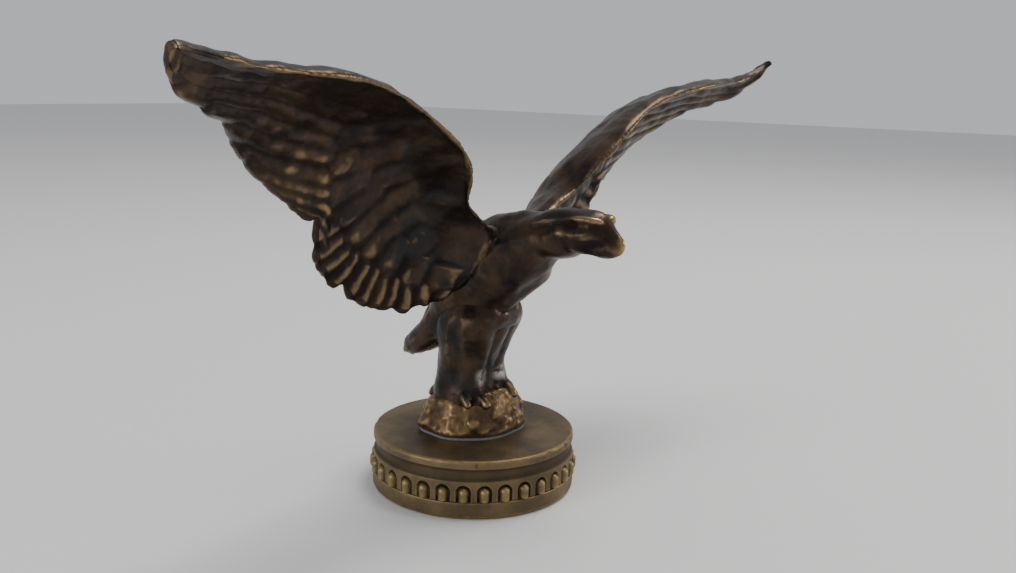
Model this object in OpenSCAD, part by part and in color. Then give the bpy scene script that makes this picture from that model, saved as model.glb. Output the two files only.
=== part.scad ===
// Eagle mascot on a screw-on radiator cap.
// +Z is up, the rim of the cap stands on z = 0, the cap's axis is the Z axis and the bird faces -Y.

/* [Cap] */
// Diameter of the flat top disc of the cap
disc_d = 62; // [56:0.5:66]
// Height of the cap from its rim to its flat top
cap_h = 17.6; // [17:0.2:22]
// Thickness of the edge band round the top disc
disc_t = 2.6; // [2:0.1:3.2]
// Rounding of the disc's upper corner
disc_round = 1.0; // [0.4:0.1:1.2]
// Diameter over the ribs
rib_ring_d = 64; // [60:0.5:68]
// Number of grip ribs round the cap
rib_count = 32; // [24:1:40]
// Turn of the first rib from the +X axis
rib_phase = -2.6; // [-5:0.1:5]
// Height of the lower band, which the ribs stand on
band_h = 5.2; // [4:0.2:6]
// Height of the rib tops above the rim
rib_top = 10.8; // [10:0.2:12.5]
// Radius of one rib
rib_r = 1.9; // [1.4:0.1:2.2]
// Depth of the groove behind the ribs
rib_depth = 2.4; // [1.6:0.1:3]

/* [Neck thread] */
// Minor diameter of the filler neck thread in the bush
thread_minor_d = 41.74; // [36:0.02:44]
// Major diameter of the filler neck thread
thread_major_d = 44.45; // [40:0.05:46]
// Length of the threaded wall
thread_len = 7.3; // [6:0.1:8]
// Outer diameter of the threaded bush
bush_d = 53; // [50:0.5:55]
// Thickness of the neck gasket
gasket_t = 2; // [1.4:0.1:2]
// Bore diameter of the neck gasket
gasket_bore_d = 35; // [30:0.5:38]

/* [Mounting stud] */
// Diameter of the stud that holds the mascot on the cap
stud_d = 6.35; // [5:0.05:8]
// Height of the stud's lower end above the rim
stud_low = 7.6; // [7.5:0.1:9]
// How far the stud goes up into the bird's legs
stud_grip = 10; // [8:0.5:16]
// Radial play of the stud in the cap
stud_play = 0.06; // [0.02:0.01:0.1]
// Thickness of the sealing washer under the disc
seal_t = 1; // [0.6:0.1:1.2]
// Thickness of the plain washer
washer_t = 1; // [0.8:0.1:1.2]
// Thickness of the spring washer
spring_t = 1.3; // [1:0.1:1.4]
// Height of the nut
nut_h = 3.2; // [2.4:0.1:3.2]
// Width of the nut across its flats
nut_flats = 11.1; // [10:0.1:14]
// Thickness of the metal left over the nut pocket
plate_t = 2.8; // [2.4:0.1:3.4]

/* [Rock] */
// Length of the rock's oval foot
rock_l = 33; // [28:0.5:36]
// Width of the rock's oval foot
rock_w = 25.5; // [22:0.5:30]
// Height of the rock under the feet
rock_h = 9.8; // [8:0.2:12]
// Turn of the rock's long side from the wing line
rock_turn = -28; // [-45:1:0]
// Thickness of the gasket under the rock
rock_gasket_t = 0.6; // [0.4:0.1:1]

/* [Eagle] */
// Enlargement of the bird above the rock
bird_scale = 1; // [0.85:0.01:1.2]
// Distance of each wing joint from the middle of the bird
joint_x = 12; // [11:0.1:14.4]
// Thickness of a wing at its leading edge
wing_edge_t = 3.2; // [2.4:0.1:4]
// Thickness of a wing at its feather tips
wing_tip_t = 1.4; // [1:0.1:2]
// Height of the wing's arch from front to back
wing_arch = 10; // [6:0.5:12]
// Extra metal on the back of each wing's arm
arm_bulk = 3; // [1:0.5:4]
// How much higher the tip of the left wing is bent
left_tip_rise = 4.5; // [0:0.5:5]
// How much further forward the tip of the left wing is bent
left_tip_sweep = 4; // [0:0.5:5]
// Depth of the scallops between the feather tips
scallop = 1.6; // [0:0.1:2.4]
// Diameter of the tenon at each wing root
tenon_d = 8; // [6:0.2:9.6]
// Length of the tenon
tenon_l = 8; // [6:0.2:9]
// Diameter of the pin across each tenon
wing_pin_d = 2.4; // [2:0.1:3]

/* [Hidden] */

bronze = "#7a6038";
dark_bronze = "#4d3f28";
worn_brass = "#8f7445";
steel = "#8a8a88";
fibre = "#5a5650";
rubber = "#2c2c2c";

fit_gap = 0.03;                                  // play between pieces that are screwed or pushed together
round_fn = 96;
disc_r = disc_d / 2;
rib_ring_r = rib_ring_d / 2;
groove_r = rib_ring_r - rib_depth;
band_r = disc_r + 0.3;
bush_top = thread_len + 2.2;                     // the bush ends at the shoulder of its socket
socket_r = bush_d / 2 + fit_gap;
pocket_r = gasket_bore_d / 2 - 0.5;              // nut pocket inside the gasket's bore
ceiling_z = cap_h - plate_t;
stud_r = stud_d / 2;
stud_top = cap_h + rock_gasket_t + rock_h + stud_grip;
rock_z = cap_h + rock_gasket_t;
feet_z = rock_z + rock_h;
joint_y = -8.5;
joint_z = 73;
pin_x = joint_x - tenon_l / 2;
breadth = joint_x / 12;                          // the stations of the trunk suit joints 12 mm out
edge_over = 1;                                   // how far a cutting tool runs past what it cuts

// ---------- smooth curves through stations ----------
// Value at place u of a smooth curve through the stations p, with p[0] at u = 0.
function along(p, u) =
    let (
        i = max(0, min(floor(u), len(p) - 2)),
        t = u - i,
        a = p[max(i - 1, 0)], b = p[i], c = p[i + 1], d = p[min(i + 2, len(p) - 1)]
    )
    0.5 * (2 * b + (c - a) * t + (2 * a - 5 * b + 4 * c - d) * t * t
           + (3 * b - a - 3 * c + d) * t * t * t);

// Closed skin over rings of points that all have the same number of points.
module skin(rings) {
    n = len(rings);
    m = len(rings[0]);
    points = [for (r = rings) for (p = r) p];
    sides = [
        for (i = [0 : n - 2]) for (j = [0 : m - 1]) for (half = [0, 1])
            let (k = (j + 1) % m, a = i * m + j, b = i * m + k, c = (i + 1) * m + j, d = (i + 1) * m + k)
            half == 0 ? [a, b, d] : [a, d, c]
    ];
    first = [for (j = [m - 1 : -1 : 0]) j];
    last = [for (j = [0 : m - 1]) (n - 1) * m + j];
    polyhedron(points, concat([first], sides, [last]), convexity = 6);
}

// Each station of the bird's trunk: the upper point y, z, the lower point y, z, the half width.
function trunk_ring(s, m) = [
    for (j = [0 : m - 1])
        let (a = 360 * (j + 0.5) / m)
        [s[4] * breadth * cos(a),
         (s[0] + s[2]) / 2 + sin(a) * (s[0] - s[2]) / 2,
         (s[1] + s[3]) / 2 + sin(a) * (s[1] - s[3]) / 2]
];
// The stations are skinned from the one nearest the tail to the one nearest the beak.
module trunk(stations, steps, m) {
    skin([for (i = [0 : steps]) trunk_ring(along(stations, i * (len(stations) - 1) / steps), m)]);
}

// ---------- cap ----------
module cap_shell() {
    color(worn_brass)
    difference() {
        union() {
            rotate_extrude($fn = round_fn) cap_outline();
            for (i = [0 : rib_count - 1]) rotate(rib_phase + 360 * i / rib_count) rib();
        }
        translate([0, 0, -edge_over]) cylinder(r = socket_r, h = bush_top + edge_over, $fn = round_fn);
        cylinder(r = pocket_r, h = ceiling_z, $fn = round_fn);
        cylinder(r = stud_r + stud_play, h = cap_h + edge_over, $fn = 64);
    }
}
module cap_outline() {
    tuck = 0.7;
    disc_low = cap_h - disc_t;
    polygon(concat(
        [[0, 0], [band_r - tuck, 0], [band_r, tuck], [band_r, band_h - 0.4], [band_r - 0.4, band_h],
         [groove_r, band_h], [groove_r, rib_top], [groove_r + 0.7, rib_top + 0.5],
         [groove_r + 0.7, disc_low - 0.5], [disc_r - 0.5, disc_low - 0.1], [disc_r, disc_low + 0.4]],
        [for (a = [0 : 15 : 90])
            [disc_r - disc_round * (1 - cos(a)), cap_h - disc_round * (1 - sin(a))]],
        [[0, cap_h]]
    ));
}
module rib() {
    translate([rib_ring_r - rib_r, 0, band_h - 0.2])
    rotate_extrude($fn = 20)
        polygon(concat(
            [[0, 0], [rib_r, 0]],
            [for (a = [0 : 18 : 90]) [rib_r * cos(a), rib_top - band_h + 0.2 - rib_r * (1 - sin(a))]]
        ));
}

module neck_bush() {
    color(dark_bronze)
    difference() {
        cylinder(d = bush_d, h = bush_top, $fn = round_fn);
        translate([0, 0, -edge_over])
            cylinder(d = thread_minor_d, h = bush_top + 2 * edge_over, $fn = round_fn);
        translate([0, 0, thread_len])
            cylinder(d = thread_major_d + 0.7, h = bush_top, $fn = round_fn);
    }
}
module neck_gasket() {
    color(rubber)
    ring(thread_major_d, gasket_bore_d, gasket_t, bush_top - gasket_t);
}
module ring(outer_d, inner_d, t, z) {
    translate([0, 0, z])
    difference() {
        cylinder(d = outer_d, h = t, $fn = round_fn);
        translate([0, 0, -edge_over]) cylinder(d = inner_d, h = t + 2 * edge_over, $fn = round_fn);
    }
}

// ---------- stud and its fastenings ----------
module mounting_stud() {
    chamfer = 0.6;
    color(steel)
    translate([0, 0, stud_low])
    rotate_extrude($fn = 64)
        polygon([[0, 0], [stud_r - chamfer, 0], [stud_r, chamfer],
                 [stud_r, stud_top - stud_low - chamfer], [stud_r - chamfer, stud_top - stud_low],
                 [0, stud_top - stud_low]]);
}
module sealing_washer() {
    color(fibre)
    ring(stud_d + 13, stud_d + 2 * stud_play, seal_t, ceiling_z - seal_t);
}
module plain_washer() {
    color(steel)
    ring(stud_d + 9.5, stud_d + 0.3, washer_t, ceiling_z - seal_t - washer_t);
}
module spring_washer() {
    slot = 0.8;
    z = ceiling_z - seal_t - washer_t - spring_t;
    color(steel)
    difference() {
        ring(stud_d + 5, stud_d + 0.3, spring_t, z);
        translate([stud_r + 1.5, 0, z + spring_t / 2])
            rotate([30, 0, 0]) cube([stud_r + 3, slot, spring_t * 3], center = true);
    }
}
module hex_nut() {
    z = ceiling_z - seal_t - washer_t - spring_t - nut_h;
    color(steel)
    translate([0, 0, z])
    difference() {
        cylinder(d = nut_flats / cos(30), h = nut_h, $fn = 6);
        translate([0, 0, -edge_over])
            cylinder(r = stud_r + fit_gap, h = nut_h + 2 * edge_over, $fn = 64);
    }
}

// ---------- rock ----------
// Outline of the rock as a share of its foot, with a few soft lumps round it.
function rock_edge(a, k) = k * (1 + 0.035 * sin(3 * a + 40) + 0.02 * sin(7 * a));
module rock_gasket() {
    color(fibre)
    translate([0, 0, cap_h])
    difference() {
        skin([for (z = [0, rock_gasket_t]) rock_ring(1.03, z)]);
        translate([0, 0, -edge_over]) cylinder(r = stud_r + stud_play, h = 3 * edge_over, $fn = 64);
    }
}
function rock_ring(k, z) = [
    for (i = [0 : 47])
        let (a = 360 * i / 48, e = rock_edge(a, k))
        let (x = rock_l / 2 * e * cos(a), y = rock_w / 2 * e * sin(a))
        [x * cos(rock_turn) - y * sin(rock_turn), x * sin(rock_turn) + y * cos(rock_turn), z]
];
module rock_mound() {
    shape = [[0, 0.95], [1.2, 1.0], [3.4, 0.985], [6, 0.93], [8.2, 0.86], [rock_h, 0.74]];
    color(bronze)
    translate([0, 0, rock_z])
    difference() {
        skin([for (i = [0 : 12])
            let (s = along(shape, i * (len(shape) - 1) / 12))
            rock_ring(s[1], min(s[0], rock_h))]);
        translate([0, 0, -edge_over])
            cylinder(r = stud_r + fit_gap, h = rock_h + 2 * edge_over, $fn = 64);
    }
}

// ---------- bird ----------
// The bird is modelled at its nominal size and enlarged about the middle of its feet.
module grown() {
    translate([0, 0, feet_z]) scale(bird_scale) translate([0, 0, -feet_nominal]) children();
}
feet_nominal = 28;
// The trunk runs in one from the tail to the tip of the beak.
trunk_stations = [
    [24.6, 39.4, 22.8, 37.8, 4.5], [23.6, 41, 20.8, 38.3, 7.6], [20.8, 45.4, 17.2, 39.9, 8.6],
    [17.8, 50.4, 9, 43, 8.8], [16, 55.4, -1, 46.4, 10], [12.5, 63.5, -8, 51.5, 11.5],
    [6.5, 73, -13, 57, 12.8], [-0.5, 81, -18.5, 62, 13.2], [-7.5, 84.6, -22.6, 66, 12.6],
    [-14.5, 85.6, -24.8, 70, 10.4], [-23, 86.6, -27.6, 73.4, 8.4], [-32, 88.6, -34, 75.2, 7.4],
    [-39.6, 88.5, -39, 76.2, 6], [-43.4, 86.8, -43, 76.5, 4.7], [-46.6, 85.4, -45.6, 76.4, 3.4],
    [-48.8, 83.4, -47.6, 76.6, 2.2], [-49.9, 81, -49, 77.6, 0.8]
];
module eagle_body() {
    color(bronze)
    grown()
    difference() {
        intersection() {
            trunk(trunk_stations, 44, 24);
            translate([-joint_x, -60, 0]) cube([2 * joint_x, 120, 120]);
        }
        for (side = [-1, 1]) {
            translate([side * (joint_x + edge_over), joint_y, joint_z])
                rotate([0, -side * 90, 0])
                cylinder(d = tenon_d + 2 * fit_gap, h = tenon_l + edge_over + 0.4, $fn = 48);
            wing_pin_hole(side);
        }
    }
}

// Each station of the legs: height, front y, rear y, half width over both. A soft groove in front and
// behind parts the two legs, and their top end is let into the belly.
leg_stations = [
    [28, -9.8, 12.6, 13.2], [30.5, -8.8, 11.6, 12.8], [34, -6.4, 9.6, 12], [38, -6, 8.8, 12],
    [44, -7.6, 8.6, 12.6], [50, -10.8, 8.4, 13.4], [55, -12, 7.4, 13], [60, -10, 4, 10.4]
];
function leg_ring(s, m) = [
    for (j = [0 : m - 1])
        let (a = 360 * (j + 0.25) / m, groove = 1 - 0.16 * exp(-pow(s[3] * cos(a) / 3.2, 2)))
        [s[3] * cos(a), (s[1] + s[2]) / 2 + (s[2] - s[1]) / 2 * sin(a) * groove, s[0]]
];
module eagle_legs() {
    steps = 18;
    color(bronze)
    difference() {
        grown()
            skin([for (i = [0 : steps])
                leg_ring(along(leg_stations, i * (len(leg_stations) - 1) / steps), 32)]);
        translate([0, 0, feet_z - edge_over])
            cylinder(r = stud_r + fit_gap, h = stud_grip + edge_over + 1, $fn = 64);
    }
}
// The pin's hole comes up from the breast through the tenon.
module wing_pin_hole(side) {
    translate([side * pin_x, joint_y, joint_z - tenon_d])
        cylinder(d = wing_pin_d + 2 * fit_gap, h = 2 * tenon_d - 2, $fn = 32);
}
module wing_pin(side) {
    color(steel)
    grown() translate([side * pin_x, joint_y, joint_z - tenon_d + 0.2])
        cylinder(d = wing_pin_d, h = 2 * tenon_d - 2.6, $fn = 32);
}
module left_wing_pin() wing_pin(1);
module right_wing_pin() wing_pin(-1);

// Wing outline from the root to the tip: leading edge x, y, z and trailing edge x, y, z, with x counted
// from the wing joint.
wing_stations = [
    [0, -12.5, 82, 0, -2, 64], [7, -14.5, 86, 8, 0, 60.6], [16.5, -17.5, 91.5, 20, 3, 59],
    [21, -22, 98.5, 32, 5.5, 62], [27, -25, 104.5, 44.3, 5, 68.6], [35, -26, 110.3, 53.8, 2.2, 77],
    [45, -26.5, 115.6, 58, -1, 86.5], [56.5, -29, 119.6, 66.5, -1, 94],
    [69, -32.5, 122.4, 79, -3.5, 102.5], [80, -34, 123.8, 91.5, -11.5, 110.8],
    [92, -33, 124.4, 99.5, -18, 115], [104, -33, 125.6, 108, -23, 117.6],
    [114, -34, 127.3, 117, -28, 121], [120.6, -34.6, 128, 120.4, -31.6, 125]
];
// Share of the full arch along the wing, from the root to the tip.
arch_stations = [0.4, 0.85, 1, 0.9, 0.72, 0.5, 0.32, 0.2, 0.08];
feather_count = 17;
chord_steps = 10;
span_steps = 64;
root_sunk = 0.8;                                 // how far a wing's root starts inside its seat
function wing_ring(u, bend) =
    let (
        s = along(wing_stations, u * (len(wing_stations) - 1)),
        x = u == 0 ? joint_x - root_sunk : joint_x,
        front = [x + s[0], s[1], s[2]] + bend * pow(max(0, u - 0.86) / 0.14, 2),
        chord = [s[3] - s[0], s[4] - s[1], s[5] - s[2]],
        lift = cross([1, -0.3, 0.4], chord),
        up = lift / norm(lift),
        root = pow(max(0, 1 - u * 5), 2),
        arch = wing_arch * along(arch_stations, u * (len(arch_stations) - 1)) * (1 - root),
        lobe = scallop * (1 - pow(abs(cos(180 * feather_count * u)), 0.7)) * (1 - root),
        reach = (norm(chord) - lobe) / norm(chord),
        rows = [for (j = [0 : chord_steps]) j / chord_steps]
    )
    [for (side = [-1, 1]) for (v = side < 0 ? rows : [for (j = [chord_steps : -1 : 0]) rows[j]])
        let (muscle = max(0, side) * arm_bulk * sin(180 * v) * sin(180 * min(1, u * 1.6)))
        front + chord * v * reach
            + up * (arch * sin(180 * pow(v, 0.8)) + side * wing_t(u, v, root) / 2 + muscle)];
// Thickness at share v of the chord: a rounded front edge, thin feather tips and a stout root.
function wing_t(u, v, root) =
    min(1, 0.35 + 6 * v) * (wing_tip_t + (wing_edge_t * (1 - 0.4 * u) - wing_tip_t) * pow(1 - v, 2))
    + (tenon_d + 3.4) * root * (1 - pow(2 * v - 1, 2));
// The stub that the tenon is turned from: a ring of as many points as the wing's own rings have.
function stub_ring(x) =
    let (n = chord_steps + 1, r = tenon_d / 2 + 1.2, tilt = 30)
    [for (side = [-1, 1]) for (j = side < 0 ? [0 : n - 1] : [n - 1 : -1 : 0])
        let (a = 180 * (j + 0.5) / n, c = -r * cos(a), d = side * r * sin(a))
        [x, joint_y + c * sin(tilt) + d * cos(tilt), joint_z - c * cos(tilt) + d * sin(tilt)]];
module wing(side, bend = [0, 0, 0]) {
    color(bronze)
    grown() mirror([side < 0 ? 1 : 0, 0, 0])
    difference() {
        skin(concat(
            [stub_ring(joint_x - tenon_l), stub_ring(joint_x - 2 * root_sunk)],
            [for (i = [0 : span_steps]) wing_ring(i / span_steps, bend)]
        ));
        turning_cut();
        wing_pin_hole(1);
    }
}
// What is turned off the stub to leave the round tenon and the flat face that seats on the body.
module turning_cut() {
    translate([joint_x, joint_y, joint_z]) rotate([0, -90, 0])
    difference() {
        cylinder(d = 6 * tenon_d, h = tenon_l + edge_over, $fn = 48);
        translate([0, 0, -edge_over]) cylinder(d = tenon_d, h = tenon_l + 3 * edge_over, $fn = 48);
    }
}
module left_wing() wing(1, [0, -left_tip_sweep, left_tip_rise]);
module right_wing() wing(-1);

cap_shell();
neck_bush();
neck_gasket();
sealing_washer();
rock_gasket();
rock_mound();
eagle_legs();
eagle_body();
left_wing();
right_wing();
left_wing_pin();
right_wing_pin();
mounting_stud();
plain_washer();
spring_washer();
hex_nut();
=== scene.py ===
from math import acos, atan2, cos, exp, hypot, pi, radians, sin, sqrt, tau

import bmesh
import bpy
import numpy as np
from mathutils import Matrix, Vector, noise


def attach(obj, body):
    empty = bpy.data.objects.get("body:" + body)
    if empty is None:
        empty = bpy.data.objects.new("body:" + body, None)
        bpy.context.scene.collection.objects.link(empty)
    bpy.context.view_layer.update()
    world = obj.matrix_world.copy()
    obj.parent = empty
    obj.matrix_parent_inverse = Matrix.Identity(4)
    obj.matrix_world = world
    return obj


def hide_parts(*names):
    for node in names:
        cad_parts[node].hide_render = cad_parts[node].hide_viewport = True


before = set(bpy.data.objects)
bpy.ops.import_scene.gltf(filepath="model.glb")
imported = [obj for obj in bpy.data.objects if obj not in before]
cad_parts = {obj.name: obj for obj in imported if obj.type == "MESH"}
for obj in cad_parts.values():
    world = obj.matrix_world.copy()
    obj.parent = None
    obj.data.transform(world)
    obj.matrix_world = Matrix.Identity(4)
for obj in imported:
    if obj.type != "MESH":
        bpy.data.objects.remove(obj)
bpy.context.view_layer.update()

# ---------- camera ----------
# It stands a little above the cap, off the bird's right side and in front, and looks
# slightly down past the wings.
mm = 0.001
camera_place = Vector((-240.5, -174.7, 123.9)) * mm
camera_heading = 55.84
camera_dip = 11.76
camera_roll = 1.53
camera_data = bpy.data.cameras.new("camera")
camera_data.sensor_width = 36
camera_data.lens = 35.43
camera_data.clip_start = 0.01
camera = bpy.data.objects.new("camera", camera_data)
bpy.context.collection.objects.link(camera)
camera.matrix_world = (
    Matrix.Translation(camera_place)
    @ Matrix.Rotation(radians(-camera_heading), 4, "Z")
    @ Matrix.Rotation(radians(90 - camera_dip), 4, "X")
    @ Matrix.Rotation(radians(camera_roll), 4, "Z")
)
bpy.context.scene.camera = camera

# ---------- studio ----------
# A pale matt floor that the cap stands on, a wide soft light overhead, a weaker one on either
# side of the camera, and a dim even sky.
floor_half = 3
floor_grey = (0.70, 0.70, 0.70, 1)
floor_mesh = bpy.data.meshes.new("floor")
bm = bmesh.new()
bmesh.ops.create_grid(bm, x_segments=1, y_segments=1, size=floor_half)
bm.to_mesh(floor_mesh)
bm.free()
floor = bpy.data.objects.new("floor", floor_mesh)
bpy.context.collection.objects.link(floor)
floor_paint = bpy.data.materials.new("floor_paint")
floor_paint.use_nodes = True
floor_shader = floor_paint.node_tree.nodes["Principled BSDF"]
floor_shader.inputs["Base Color"].default_value = floor_grey
floor_shader.inputs["Roughness"].default_value = 0.8
floor_mesh.materials.append(floor_paint)


def soft_light(name, place, size, power, colour):
    """A round soft light at a place in metres, turned towards the middle of the bird."""
    lamp = bpy.data.lights.new(name, "AREA")
    lamp.shape = "DISK"
    lamp.size = size
    lamp.energy = power
    lamp.color = colour
    stand = bpy.data.objects.new(name, lamp)
    bpy.context.collection.objects.link(stand)
    stand.location = place
    aim = Vector((0, 0, 70 * mm)) - stand.location
    stand.rotation_mode = "QUATERNION"
    stand.rotation_quaternion = aim.to_track_quat("-Z", "Y")


soft_light("overhead", (0.35, -0.15, 1.1), 0.6, 9, (1.0, 0.97, 0.93))
soft_light("window", (-1.1, 0.35, 0.35), 0.6, 5, (0.95, 0.98, 1.0))
soft_light("front", (0.9, -0.9, 0.4), 0.4, 3.5, (1.0, 0.95, 0.88))
sky = bpy.data.worlds.new("sky")
sky.use_nodes = True
sky.node_tree.nodes["Background"].inputs["Color"].default_value = (0.86, 0.87, 0.9, 1)
sky.node_tree.nodes["Background"].inputs["Strength"].default_value = 0.62
bpy.context.scene.world = sky

# ---------- cap shell ----------
# A cast brass cap, turned on its top and rim and aged to a dull olive brown. Thirty-two pegs in
# arched niches round its side give the hand a grip. The neck bush is soldered into its socket.
cap_h = 17.6
stud_hole_r = 3.24
disc_r = 31.0
disc_low = 15.0
cove_r = 30.2
wall_r = 31.0
band_r = 31.3
band_h = 5.2
grip_top = 11.2
socket_r = 26.53
socket_h = 9.5
pocket_r = 17.0
ceiling_z = 14.8
peg_count = 32
peg_phase = radians(-2.6)
peg_half = 1.55
peg_spring_z = 8.15
niche_half = 2.15
niche_spring_z = 8.2
niche_depth = 1.3
cap_columns = 22 * peg_count
# Dents in the disc's edge: the angle round the cap, the height, the half width and the depth.
disc_dents = [
    (218, 16.2, 0.5, 0.35), (262, 16.9, 1.6, 0.30), (279, 16.6, 1.1, 0.4), (288, 16.9, 2.2, 0.35),
    (301, 16.5, 0.9, 0.3), (196, 17.1, 1.2, 0.2), (120, 16.8, 1.6, 0.3), (47, 16.4, 0.8, 0.35),
]


def split_finely(points, step):
    """The same outline with its long stretches split into steps of about that length."""
    fine = []
    for a, b in zip(points, points[1:]):
        parts = max(1, round(hypot(b[0] - a[0], b[1] - a[1]) / step))
        fine += [(a[0] + (b[0] - a[0]) * k / parts, a[1] + (b[1] - a[1]) * k / parts)
                 for k in range(parts)]
    return fine + [points[-1]]


def rounded(cx, cz, r, first, last, steps):
    """Points on a quarter or so of a circle, from one angle to another in degrees."""
    angles = [radians(first + (last - first) * k / steps) for k in range(steps + 1)]
    return [(cx + r * cos(a), cz + r * sin(a)) for a in angles]


def turned(outline, columns, doublings):
    """A ring turned from a closed outline of radius and height, in mm. One sector is spun, and then
    doubled until it goes all the way round."""
    bm = bmesh.new()
    corners = [bm.verts.new((r, 0, z)) for r, z in outline]
    edges = [bm.edges.new((a, b)) for a, b in zip(corners, corners[1:] + corners[:1])]
    sector = tau / 2 ** doublings
    bmesh.ops.spin(bm, geom=corners + edges, cent=(0, 0, 0), axis=(0, 0, 1), angle=sector,
                   steps=columns // 2 ** doublings)
    for k in range(doublings):
        copy = bmesh.ops.duplicate(bm, geom=bm.verts[:] + bm.edges[:] + bm.faces[:])["geom"]
        copied = [part for part in copy if isinstance(part, bmesh.types.BMVert)]
        bmesh.ops.rotate(bm, verts=copied, cent=(0, 0, 0),
                         matrix=Matrix.Rotation(sector * 2 ** k, 3, "Z"))
    bmesh.ops.remove_doubles(bm, verts=bm.verts, dist=0.0005)
    bmesh.ops.recalc_face_normals(bm, faces=bm.faces)
    return bm


def ease(x):
    """Goes smoothly from 0 to 1 while x does."""
    x = min(1, max(0, x))
    return x * x * (3 - 2 * x)


def grip_radius(angle, z):
    """Radius of the cap's side, with an arched niche and a rounded peg in each pitch."""
    pitch = tau / peg_count
    x = ((angle - peg_phase + pitch / 2) % pitch - pitch / 2) * wall_r
    from_arch = hypot(x, max(0, z - niche_spring_z))
    r = wall_r - niche_depth * ease((niche_half - from_arch) / 0.4)
    r += 0.05 * exp(-((from_arch - niche_half - 0.3) / 0.3) ** 2)
    belly = peg_half * (1 + 0.1 * sin(pi * (z - band_h) / 5))
    across = hypot(x, max(0, z - peg_spring_z), max(0, band_h + 0.9 - z) * 0.8) / belly
    if across < 1:
        r = max(r, wall_r - niche_depth + 2.45 * sqrt(1 - across ** 2))
    return r


def shape_cap(bm):
    """Works the pegs and niches into the cap's side, and dents and waviness into disc and rim."""
    for v in bm.verts:
        r = hypot(v.co.x, v.co.y)
        angle = atan2(v.co.y, v.co.x)
        z = v.co.z
        if r < 29.5:
            continue
        wanted = r
        if band_h + 0.05 < z < grip_top + 0.2 and abs(r - wall_r) < 0.6:
            blend = ease((z - band_h) / 0.3) * ease((grip_top + 0.2 - z) / 0.4)
            wanted = r + (grip_radius(angle, z) - r) * blend
        if z > disc_low - 0.1 or z < band_h:
            wanted += 0.07 * noise.noise(Vector((v.co.x, v.co.y, z * 1.4)) * 0.22)
            wanted += 0.03 * noise.noise(Vector((v.co.x, v.co.y, z)) * 0.9)
        if z > disc_low:
            for where, height, half, depth in disc_dents:
                far = (angle - radians(where) + pi) % tau - pi
                wanted -= depth * exp(-(far * disc_r / half) ** 2 - ((z - height) / 0.9) ** 2)
        v.co.x *= wanted / r
        v.co.y *= wanted / r


cap_outline = split_finely(
    rounded(stud_hole_r + 0.3, cap_h - 0.3, 0.3, 180, 90, 3)
    + rounded(disc_r - 0.9, cap_h - 0.9, 0.9, 90, 0, 6)
    + [(disc_r, disc_low + 0.5)] + rounded(disc_r - 0.35, disc_low + 0.35, 0.35, 0, -90, 3)
    + [(cove_r + 0.15, disc_low - 0.05), (cove_r, disc_low - 0.4), (cove_r, grip_top + 0.9)]
    + [(cove_r + 0.35, grip_top + 0.45), (wall_r - 0.1, grip_top + 0.2)], 0.8)
cap_outline += split_finely([(wall_r, grip_top), (wall_r, band_h + 0.1)], 0.16)
cap_outline += split_finely(
    [(wall_r - 0.1, band_h)] + rounded(band_r - 0.3, band_h - 0.3, 0.3, 90, 0, 3)
    + rounded(band_r - 1.3, 1.3, 1.3, 0, -80, 6)
    + [(band_r - 2.2, 0), (socket_r + 0.4, 0), (socket_r, 0.4)], 0.7)
cap_outline += split_finely(
    [(socket_r, 0.5), (socket_r, socket_h), (pocket_r, socket_h), (pocket_r, ceiling_z),
     (stud_hole_r, ceiling_z), (stud_hole_r, cap_h - 0.3)], 2.0)[:-1]


def mean_of_neighbours(values, ends, degree):
    """For each vertex, the mean of a value over the vertices that it shares an edge with."""
    total = np.zeros_like(values)
    for k in range(values.shape[1]):
        total[:, k] += np.bincount(ends[:, 0], values[ends[:, 1], k], len(values))
        total[:, k] += np.bincount(ends[:, 1], values[ends[:, 0], k], len(values))
    return total / degree[:, None]


def note_wear(mesh, rub_depth=0.16, grime_depth=0.2, rubbed_share=1.0):
    """Stores on each vertex how proud it stands of the metal round it, where hands rub it bright,
    and how deep it lies, where dirt and polish stay. Depths are in mm."""
    near_steps = 4
    far_steps = 32
    count = len(mesh.vertices)
    points = np.zeros(count * 3)
    mesh.vertices.foreach_get("co", points)
    points = points.reshape(-1, 3) / mm
    normals = np.zeros(count * 3, np.float32)
    mesh.vertices.foreach_get("normal", normals)
    ends = np.zeros(len(mesh.edges) * 2, np.int64)
    mesh.edges.foreach_get("vertices", ends)
    ends = ends.reshape(-1, 2)
    degree = np.maximum(1, np.bincount(ends.ravel(), minlength=count))
    normals = normals.reshape(-1, 3)
    relief = []
    smoothed = points
    for k in range(far_steps):
        smoothed = smoothed + 0.7 * (mean_of_neighbours(smoothed, ends, degree) - smoothed)
        if k + 1 in (near_steps, far_steps):
            relief.append(((points - smoothed) * normals).sum(1))
    proud = rubbed_share * (relief[0] / (rub_depth * 0.5) + relief[1] / (rub_depth * 3))
    deep = -relief[0] / (grime_depth * 0.6) - relief[1] / (grime_depth * 2.6)
    worn = np.stack([np.clip(proud, 0, 1), np.clip(deep, 0, 1)], 1)
    for k in range(2):
        worn = worn + 0.6 * (mean_of_neighbours(worn, ends, degree) - worn)
    for name, column in (("wear_and_sheen", 0), ("grime", 1)):
        noted = mesh.attributes.new(name, "FLOAT", "POINT")
        noted.data.foreach_set("value", worn[:, column].astype(np.float32))


def finished(name, bm, material):
    """Turns a shape in mm into an object in metres, at the origin, in its finish."""
    bmesh.ops.scale(bm, vec=(mm, mm, mm), verts=bm.verts)
    mesh = bpy.data.meshes.new(name)
    bm.to_mesh(mesh)
    bm.free()
    mesh.materials.append(material)
    mesh.shade_smooth()
    piece = bpy.data.objects.new(name, mesh)
    bpy.context.collection.objects.link(piece)
    return piece


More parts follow.
